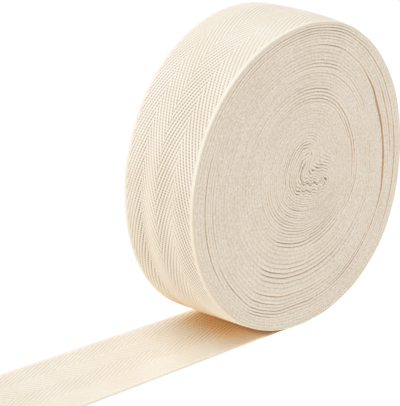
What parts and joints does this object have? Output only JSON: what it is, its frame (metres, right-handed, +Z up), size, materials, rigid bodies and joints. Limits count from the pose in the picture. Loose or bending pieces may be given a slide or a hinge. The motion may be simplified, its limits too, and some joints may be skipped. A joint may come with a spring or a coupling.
{
  "type": "roll of herringbone twill tape",
  "caption": "Coreless roll of natural cotton herringbone twill tape standing on its rim, with a loose end lying flat in front.",
  "frame": {"origin": "middle of the flat spot that the roll rests on, halfway along the roll's width", "axes": "+X along the roll's axis towards the end that the picture shows, +Z up, the loose end runs off towards -Y"},
  "size_m": [0.0406, 0.2106, 0.1309],
  "materials": {
    "cotton_tape_roll": "undyed cotton herringbone twill, matt, fine selvedges",
    "cotton_tape_loose": "undyed cotton herringbone twill, matt, fine selvedges"
  },
  "bodies": {
    "root": {"wound_roll": "cotton_tape_roll", "loose_end": "cotton_tape_loose"}
  },
  "joints": []
}
